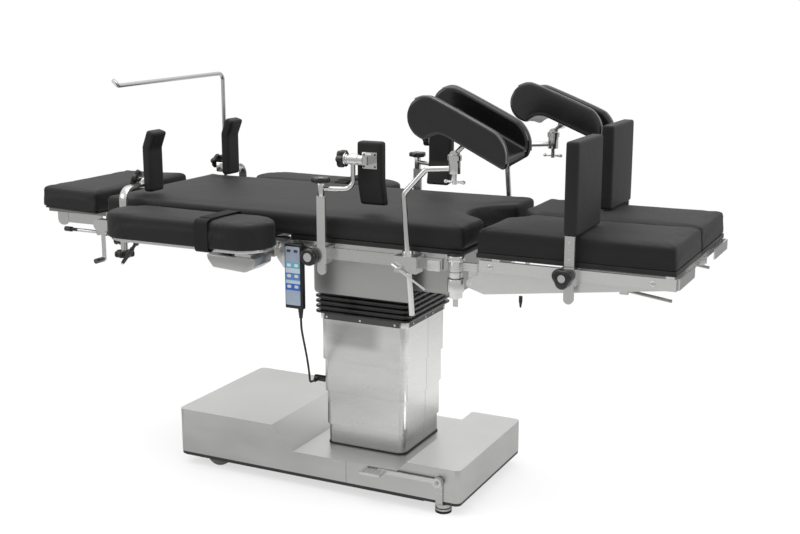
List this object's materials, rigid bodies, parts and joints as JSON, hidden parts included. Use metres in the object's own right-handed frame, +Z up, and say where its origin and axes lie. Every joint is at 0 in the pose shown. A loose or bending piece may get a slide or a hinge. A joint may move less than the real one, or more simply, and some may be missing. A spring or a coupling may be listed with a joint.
{
  "type": "operating table",
  "caption": "Operating table with a telescopic column on a wheeled base, jointed padded top sections, arm boards, knee troughs, foot boards, body supports and a wired hand controller.",
  "frame": {"origin": "on the floor, under the middle of the table's length and width", "axes": "+X towards the foot end, +Y towards the far side from the hand controller, +Z up"},
  "size_m": [1.924, 0.882, 1.1142],
  "materials": {
    "steel_sheet": "satin sheet with a fine brushed grain",
    "chrome": "polished",
    "dark_steel": "dark satin coat",
    "upholstery": "dark coated cloth over foam, soft sheen",
    "black_plastic": "moulded, slight sheen",
    "gloss_black": "skinned foam with a smooth glossy surface",
    "black_rubber": "matt",
    "wheel_rubber": "grey tread"
  },
  "bodies": {
    "base": {"base_cover": "steel_sheet", "base_chassis": "dark_steel", "lift_cylinder": "chrome", "column_cover_low": "steel_sheet"},
    "wheelset": {"wheels": "wheel_rubber"},
    "feet": {"lock_feet": "chrome"},
    "pedal": {"brake_pedal": "steel_sheet"},
    "second_cover": {"column_cover_second": "steel_sheet"},
    "third_cover": {"column_cover_third": "steel_sheet", "cord_socket": "black_plastic", "cord_plug": "black_plastic"},
    "column_head": {"column_cover_top": "steel_sheet", "column_collar": "steel_sheet", "lift_ram": "chrome", "column_bellows": "black_rubber"},
    "yoke": {"pitch_yoke": "chrome"},
    "tilt": {"tilt_frame": "steel_sheet"},
    "seat": {"seat_frame": "steel_sheet", "seat_cushion": "upholstery", "mattress_crease": "upholstery", "side_skirts": "steel_sheet", "seat_rail_clamps": "steel_sheet", "handset": "black_plastic", "handset_cord": "black_rubber"},
    "back": {"back_frame": "steel_sheet", "back_cushion": "upholstery", "back_rail_clamps": "steel_sheet", "shoulder_arms": "steel_sheet", "shoulder_pads": "upholstery"},
    "screen": {"screen_rod": "chrome"},
    "headrest": {"head_frame": "steel_sheet", "head_cushion": "upholstery"},
    "crank": {"head_crank": "chrome"},
    "head_lever": {"head_release": "black_plastic"},
    "arm_near": {"arm_board_near": "upholstery"},
    "leg_swing_near": {"leg_yoke_near": "steel_sheet"},
    "leg_near": {"leg_frame_near": "steel_sheet", "leg_cushion_near": "upholstery", "foot_clamp_near": "steel_sheet"},
    "leg_lever_near": {"leg_release_near": "black_plastic"},
    "foot_near": {"foot_bar_near": "steel_sheet", "foot_pad_near": "upholstery"},
    "post_near": {"lateral_post_near": "steel_sheet"},
    "lateral_near": {"lateral_arm_near": "chrome", "lateral_pad_near": "upholstery"},
    "crutch_near": {"crutch_rod_near": "chrome"},
    "trough_near": {"crutch_trough_near": "gloss_black"},
    "arm_far": {"arm_board_far": "upholstery"},
    "leg_swing_far": {"leg_yoke_far": "steel_sheet"},
    "leg_far": {"leg_frame_far": "steel_sheet", "leg_cushion_far": "upholstery", "foot_clamp_far": "steel_sheet"},
    "leg_lever_far": {"leg_release_far": "black_plastic"},
    "foot_far": {"foot_bar_far": "steel_sheet", "foot_pad_far": "upholstery"},
    "post_far": {"lateral_post_far": "steel_sheet"},
    "lateral_far": {"lateral_arm_far": "chrome", "lateral_pad_far": "upholstery"},
    "crutch_far": {"crutch_rod_far": "chrome"},
    "trough_far": {"crutch_trough_far": "gloss_black"}
  },
  "joints": [
    {"name": "wheel_roll", "type": "hinge", "parent": "base", "child": "wheelset", "pos_m": [-0.36, 0, 0.04], "axis": [0, 1, 0], "continuous": true},
    {"name": "pedal_press", "type": "hinge", "parent": "base", "child": "pedal", "pos_m": [0.355, -0.236, 0.094], "axis": [0, -1, 0], "range_deg": [0, 10]},
    {"name": "feet_lift", "type": "slide", "parent": "base", "child": "feet", "axis": [0, 0, 1], "range_m": [0, 0.004]},
    {"name": "column_lift", "type": "slide", "parent": "base", "child": "column_head", "axis": [0, 0, 1], "range_m": [-0.08, 0.22]},
    {"name": "third_cover_lift", "type": "slide", "parent": "base", "child": "third_cover", "axis": [0, 0, 1], "range_m": [-0.0534, 0.1467]},
    {"name": "second_cover_lift", "type": "slide", "parent": "base", "child": "second_cover", "axis": [0, 0, 1], "range_m": [-0.0267, 0.0734]},
    {"name": "top_pitch", "type": "hinge", "parent": "column_head", "child": "yoke", "pos_m": [0.08, 0, 0.6], "axis": [0, 1, 0], "range_deg": [-20, 20], "deforming": ["column_bellows"]},
    {"name": "top_roll", "type": "hinge", "parent": "yoke", "child": "tilt", "pos_m": [0.08, 0, 0.6], "axis": [1, 0, 0], "range_deg": [-15, 15]},
    {"name": "top_slide", "type": "slide", "parent": "tilt", "child": "seat", "axis": [1, 0, 0], "range_m": [-0.1, 0.1], "deforming": ["handset_cord"]},
    {"name": "back_raise", "type": "hinge", "parent": "seat", "child": "back", "pos_m": [-0.09, 0, 0.69], "axis": [0, 1, 0], "range_deg": [-10, 70], "deforming": ["mattress_crease"]},
    {"name": "screen_slide", "type": "slide", "parent": "back", "child": "screen", "axis": [0, 0, 1], "range_m": [-0.25, 0]},
    {"name": "head_tilt", "type": "hinge", "parent": "back", "child": "headrest", "pos_m": [-0.705, 0, 0.69], "axis": [0, 1, 0], "range_deg": [-45, 30]},
    {"name": "crank_turn", "type": "hinge", "parent": "headrest", "child": "crank", "pos_m": [-0.74, -0.19, 0.656], "axis": [0, 1, 0], "range_deg": [-90, 90]},
    {"name": "head_lever_pull", "type": "hinge", "parent": "headrest", "child": "head_lever", "pos_m": [-0.762, -0.182, 0.652], "axis": [0, -1, 0], "range_deg": [0, 15]},
    {"name": "arm_board_near_swing", "type": "hinge", "parent": "back", "child": "arm_near", "pos_m": [-0.132, -0.363, 0.695], "axis": [0, 0, 1], "range_deg": [0, 100]},
    {"name": "leg_near_spread", "type": "hinge", "parent": "seat", "child": "leg_swing_near", "pos_m": [0.409, -0.255, 0.67], "axis": [0, 0, -1], "range_deg": [0, 90]},
    {"name": "leg_near_drop", "type": "hinge", "parent": "leg_swing_near", "child": "leg_near", "pos_m": [0.452, -0.26, 0.64], "axis": [0, 1, 0], "range_deg": [0, 85]},
    {"name": "leg_lever_near_pull", "type": "hinge", "parent": "leg_near", "child": "leg_lever_near", "pos_m": [0.82, -0.2, 0.65], "axis": [0, -1, 0], "range_deg": [0, 12]},
    {"name": "foot_board_near_slide", "type": "slide", "parent": "leg_near", "child": "foot_near", "axis": [0, 0, 1], "range_m": [0, 0.04]},
    {"name": "lateral_post_near_slide", "type": "slide", "parent": "seat", "child": "post_near", "axis": [0, 0, 1], "range_m": [-0.02, 0.03]},
    {"name": "lateral_near_swing", "type": "hinge", "parent": "post_near", "child": "lateral_near", "pos_m": [0.048, -0.285, 0.85], "axis": [0, 0, -1], "range_deg": [-15, 90]},
    {"name": "crutch_near_turn", "type": "hinge", "parent": "seat", "child": "crutch_near", "pos_m": [0.296, -0.29, 0.69], "axis": [0.075, 0, -0.9972], "range_deg": [-20, 90]},
    {"name": "trough_near_tip", "type": "hinge", "parent": "crutch_near", "child": "trough_near", "pos_m": [0.41863, -0.29, 0.95854], "axis": [0, 1, 0], "range_deg": [-12, 12]},
    {"name": "arm_board_far_swing", "type": "hinge", "parent": "back", "child": "arm_far", "pos_m": [-0.132, 0.363, 0.695], "axis": [0, 0, -1], "range_deg": [0, 100]},
    {"name": "leg_far_spread", "type": "hinge", "parent": "seat", "child": "leg_swing_far", "pos_m": [0.409, 0.255, 0.67], "axis": [0, 0, 1], "range_deg": [0, 90]},
    {"name": "leg_far_drop", "type": "hinge", "parent": "leg_swing_far", "child": "leg_far", "pos_m": [0.452, 0.26, 0.64], "axis": [0, 1, 0], "range_deg": [0, 85]},
    {"name": "leg_lever_far_pull", "type": "hinge", "parent": "leg_far", "child": "leg_lever_far", "pos_m": [0.82, 0.2, 0.65], "axis": [0, -1, 0], "range_deg": [0, 12]},
    {"name": "foot_board_far_slide", "type": "slide", "parent": "leg_far", "child": "foot_far", "axis": [0, 0, 1], "range_m": [0, 0.04]},
    {"name": "lateral_post_far_slide", "type": "slide", "parent": "seat", "child": "post_far", "axis": [0, 0, 1], "range_m": [-0.02, 0.03]},
    {"name": "lateral_far_swing", "type": "hinge", "parent": "post_far", "child": "lateral_far", "pos_m": [0.048, 0.285, 0.85], "axis": [0, 0, 1], "range_deg": [-15, 90]},
    {"name": "crutch_far_turn", "type": "hinge", "parent": "seat", "child": "crutch_far", "pos_m": [0.341, 0.29, 0.69], "axis": [-0.075, 0, 0.9972], "range_deg": [-20, 90]},
    {"name": "trough_far_tip", "type": "hinge", "parent": "crutch_far", "child": "trough_far", "pos_m": [0.46363, 0.29, 0.95854], "axis": [0, 1, 0], "range_deg": [-12, 12]}
  ],
  "couplings": [
    {"joint": "pedal_press", "follows": "feet_lift", "rad_per_m": 43.6},
    {"joint": "third_cover_lift", "follows": "column_lift", "ratio": 0.6667},
    {"joint": "second_cover_lift", "follows": "column_lift", "ratio": 0.3333}
  ]
}
